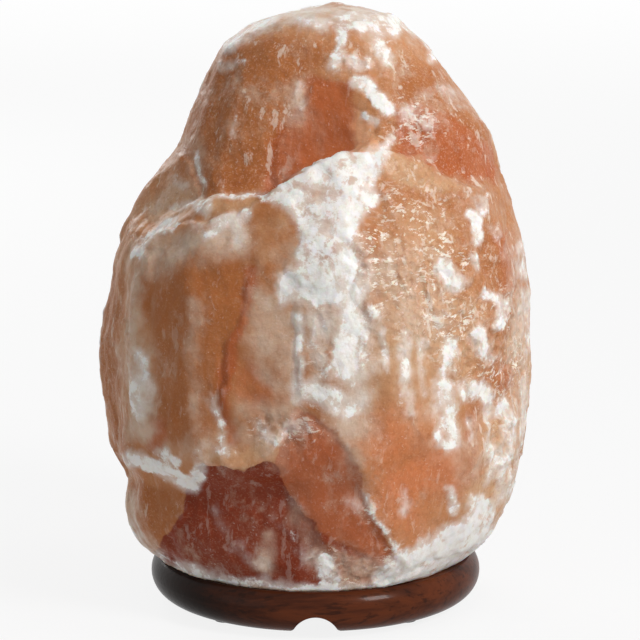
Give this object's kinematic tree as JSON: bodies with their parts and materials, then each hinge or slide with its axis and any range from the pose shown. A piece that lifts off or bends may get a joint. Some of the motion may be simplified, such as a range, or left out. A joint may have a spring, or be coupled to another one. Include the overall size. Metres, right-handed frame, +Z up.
{
  "type": "salt crystal lamp",
  "caption": "Natural rock salt block on a round wooden base with a cord notch; a screw bulb in a clip-in holder stands in its bore and is drawn out below.",
  "frame": {"origin": "centre of the wooden base, on the plane that the rubber feet stand on", "axes": "+Z up along the base's turning axis and the bulb, -Y towards the cord notch in the rim"},
  "size_m": [0.164, 0.148, 0.227],
  "materials": {
    "salt": "rough, translucent",
    "stained_wood": "satin lacquer",
    "black_rubber": "matte",
    "screw_steel": "zinc plated",
    "anchor_plastic": "matte",
    "holder_plastic": "satin",
    "core_ceramic": "unglazed",
    "contact_brass": "polished",
    "terminal_screw_steel": "zinc plated",
    "clip_steel": "tempered",
    "bulb_solder": "dull",
    "bulb_black_glass": "glossy",
    "bulb_brass": "satin",
    "bulb_cement": "matte",
    "bulb_clear_glass": "clear",
    "lead_wire": "bare",
    "tungsten": "coiled"
  },
  "bodies": {
    "lamp": {"salt_crystal": "salt", "wood_base": "stained_wood", "rubber_feet": "black_rubber", "base_screws": "screw_steel", "screw_anchors": "anchor_plastic"},
    "holder": {"holder_cap": "holder_plastic", "holder_skirt": "holder_plastic", "ring_nut": "holder_plastic", "holder_core": "core_ceramic", "thread_shell": "contact_brass", "centre_contact": "contact_brass", "neutral_rivet": "contact_brass", "live_rivet": "contact_brass", "neutral_terminal": "contact_brass", "live_terminal": "contact_brass", "terminal_screws": "terminal_screw_steel", "clip_plate": "clip_steel"},
    "right_leg": {"clip_leg_right": "clip_steel"},
    "left_leg": {"clip_leg_left": "clip_steel"},
    "bulb_foot": {"bulb_tip": "bulb_solder", "bulb_insulator": "bulb_black_glass"},
    "bulb": {"bulb_cap": "bulb_brass", "bulb_cement": "bulb_cement", "bulb_glass": "bulb_clear_glass", "bulb_stem": "bulb_clear_glass", "bulb_leads": "lead_wire", "bulb_filament": "tungsten", "filament_hooks": "lead_wire"}
  },
  "joints": [
    {"name": "holder_pull", "type": "slide", "parent": "lamp", "child": "holder", "axis": [0, 0, -1], "range_m": [0, 0.1]},
    {"name": "right_leg_squeeze", "type": "hinge", "parent": "holder", "child": "right_leg", "pos_m": [0.0165, 0, 0.0515], "axis": [0, 1, 0], "range_deg": [0, 4.5], "stiffness_Nm_per_rad": 0.3},
    {"name": "left_leg_squeeze", "type": "hinge", "parent": "holder", "child": "left_leg", "pos_m": [-0.0165, 0, 0.0515], "axis": [0, -1, 0], "range_deg": [0, 4.5], "stiffness_Nm_per_rad": 0.3},
    {"name": "bulb_rise", "type": "slide", "parent": "holder", "child": "bulb_foot", "axis": [0, 0, 1], "range_m": [0, 0.0141]},
    {"name": "bulb_unscrew", "type": "hinge", "parent": "bulb_foot", "child": "bulb", "pos_m": [0, 0, 0.05], "axis": [0, 0, 1], "range_deg": [0, 1800]}
  ],
  "couplings": [
    {"joint": "bulb_unscrew", "follows": "bulb_rise", "rad_per_m": 2226.3}
  ]
}
